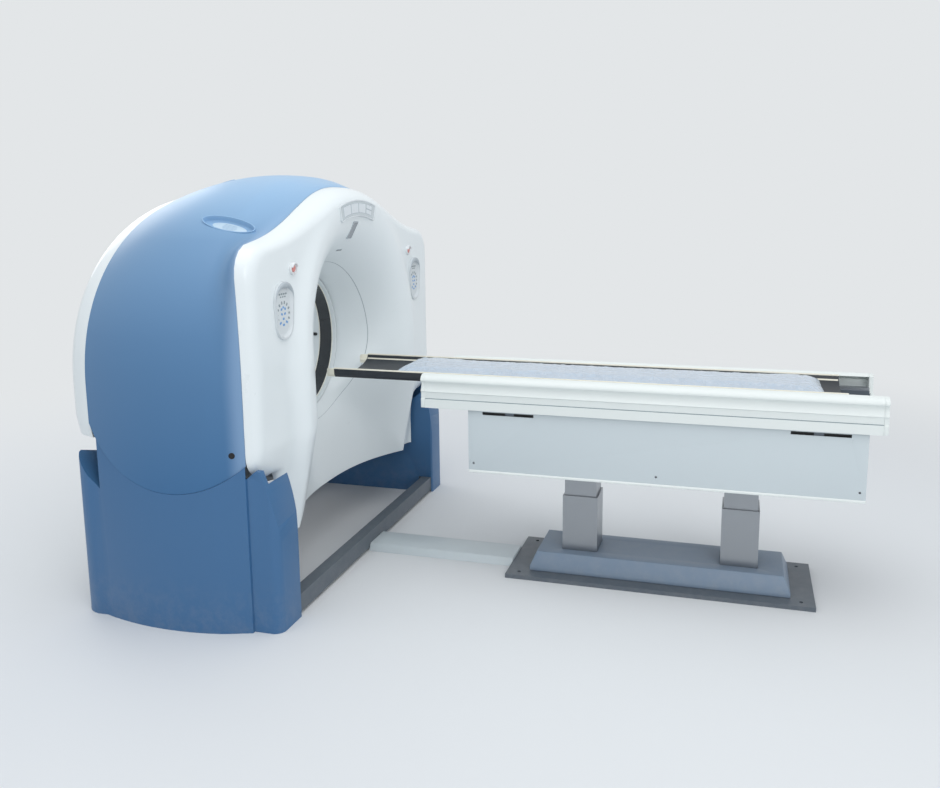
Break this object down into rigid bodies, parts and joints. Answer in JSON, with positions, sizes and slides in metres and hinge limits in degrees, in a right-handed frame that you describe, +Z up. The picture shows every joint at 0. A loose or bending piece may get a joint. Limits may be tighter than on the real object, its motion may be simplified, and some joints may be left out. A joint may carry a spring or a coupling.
{
  "type": "ct scanner",
  "caption": "Computed tomography scanner: tilting gantry with a sculpted arched front on a floor base, and a lifting patient table with a sliding cradle and padded mattress.",
  "frame": {"origin": "on the floor straight below the scan centre, at the middle of the gantry's anchor holes", "axes": "+Z up, the patient bore runs along Y, the gantry's front and the table are on the -Y side, +X to the right when facing the front"},
  "size_m": [2.22, 3.405, 1.928],
  "materials": {
    "white_cover": "satin",
    "side_blue": "satin",
    "base_blue": "satin",
    "bore_plastic": "satin",
    "light_ring": "translucent",
    "window_dark": "gloss",
    "control_grey": "matte",
    "key_pale": "matte",
    "stop_red": "satin",
    "frame_steel": "satin",
    "bare_steel": "brushed",
    "ring_alloy": "satin",
    "slip_copper": "brushed",
    "machine_dark": "satin",
    "unit_grey": "satin",
    "belt_rubber": "matte",
    "table_base_blue": "satin",
    "cradle_dark": "satin",
    "rail_cream": "satin",
    "pad_vinyl": "glossy"
  },
  "bodies": {
    "floor_base": {"base_frame": "frame_steel", "tilt_bearings": "bare_steel", "tilt_gearmotor": "machine_dark", "left_base_cover": "base_blue", "right_base_cover": "base_blue", "floor_duct": "frame_steel", "table_base": "frame_steel", "table_base_cover": "table_base_blue", "lift_outer_tubes": "ring_alloy"},
    "gantry": {"front_cover": "white_cover", "left_side_cover": "side_blue", "right_side_cover": "side_blue", "rear_cover": "white_cover", "front_bore_ring": "bore_plastic", "light_rings": "light_ring", "scan_window": "window_dark", "rear_bore_liner": "bore_plastic", "rear_flare": "bore_plastic", "display_panel": "control_grey", "laser_windows": "window_dark", "left_control_panel": "control_grey", "right_control_panel": "control_grey", "panel_keys": "key_pale", "stop_housings": "bore_plastic", "shoulder_vents": "base_blue", "dome_caps": "base_blue", "tilt_frame": "frame_steel", "bearing_outer_race": "bare_steel", "brush_block": "machine_dark", "ring_motor": "machine_dark", "drive_belt": "belt_rubber", "tilt_sector": "bare_steel"},
    "left_stop": {"left_stop_button": "stop_red"},
    "right_stop": {"right_stop_button": "stop_red"},
    "rotor": {"turning_ring": "ring_alloy", "bearing_inner_race": "bare_steel", "slip_ring": "slip_copper", "xray_tube": "unit_grey", "collimator": "unit_grey", "detector": "machine_dark", "data_unit": "unit_grey", "left_generator": "unit_grey", "right_generator": "unit_grey", "heat_exchanger": "unit_grey", "power_unit": "unit_grey"},
    "pulley": {"motor_pulley": "bare_steel"},
    "pinion": {"tilt_pinion": "bare_steel"},
    "lift_stage": {"lift_middle_tubes": "ring_alloy"},
    "side_skirts": {"side_panels": "bore_plastic"},
    "table_top": {"table_frame": "frame_steel", "guide_rails": "bare_steel", "left_fascia": "white_cover", "right_fascia": "white_cover", "table_end_caps": "white_cover", "cradle_drive": "machine_dark", "lift_inner_tubes": "ring_alloy"},
    "cradle": {"cradle": "cradle_dark", "cradle_tip": "rail_cream", "cradle_edges": "rail_cream", "mattress": "pad_vinyl"}
  },
  "joints": [
    {"name": "gantry_tilt", "type": "hinge", "parent": "floor_base", "child": "gantry", "pos_m": [0, 0, 1.07], "axis": [-1, 0, 0], "range_deg": [-30, 30]},
    {"name": "rotor_spin", "type": "hinge", "parent": "gantry", "child": "rotor", "pos_m": [0, 0, 1.07], "axis": [0, 1, 0], "continuous": true},
    {"name": "motor_pulley_spin", "type": "hinge", "parent": "gantry", "child": "pulley", "pos_m": [0.60811, 0.13, 0.46189], "axis": [0, 1, 0], "continuous": true},
    {"name": "tilt_pinion_spin", "type": "hinge", "parent": "floor_base", "child": "pinion", "pos_m": [-0.81, 0, 0.762], "axis": [-1, 0, 0], "range_deg": [-305, 305]},
    {"name": "cradle_slide", "type": "slide", "parent": "table_top", "child": "cradle", "axis": [0, 1, 0], "range_m": [0, 1.7]},
    {"name": "table_lift", "type": "slide", "parent": "floor_base", "child": "table_top", "axis": [0, 0, 1], "range_m": [-0.5, 0]},
    {"name": "lift_stage_slide", "type": "slide", "parent": "floor_base", "child": "lift_stage", "axis": [0, 0, 1], "range_m": [-0.25, 0]},
    {"name": "side_panel_slide", "type": "slide", "parent": "floor_base", "child": "side_skirts", "axis": [0, 0, 1], "range_m": [-0.45, 0]},
    {"name": "left_stop_push", "type": "slide", "parent": "gantry", "child": "left_stop", "axis": [0, 1, 0], "range_m": [0, 0.005], "stiffness_N_per_m": 600, "springref_m": -0.004},
    {"name": "right_stop_push", "type": "slide", "parent": "gantry", "child": "right_stop", "axis": [0, 1, 0], "range_m": [0, 0.005], "stiffness_N_per_m": 600, "springref_m": -0.004}
  ],
  "couplings": [
    {"joint": "tilt_pinion_spin", "follows": "gantry_tilt", "ratio": -10},
    {"joint": "motor_pulley_spin", "follows": "rotor_spin", "ratio": 14.135},
    {"joint": "lift_stage_slide", "follows": "table_lift", "ratio": 0.5},
    {"joint": "side_panel_slide", "follows": "table_lift", "ratio": 0.9}
  ]
}
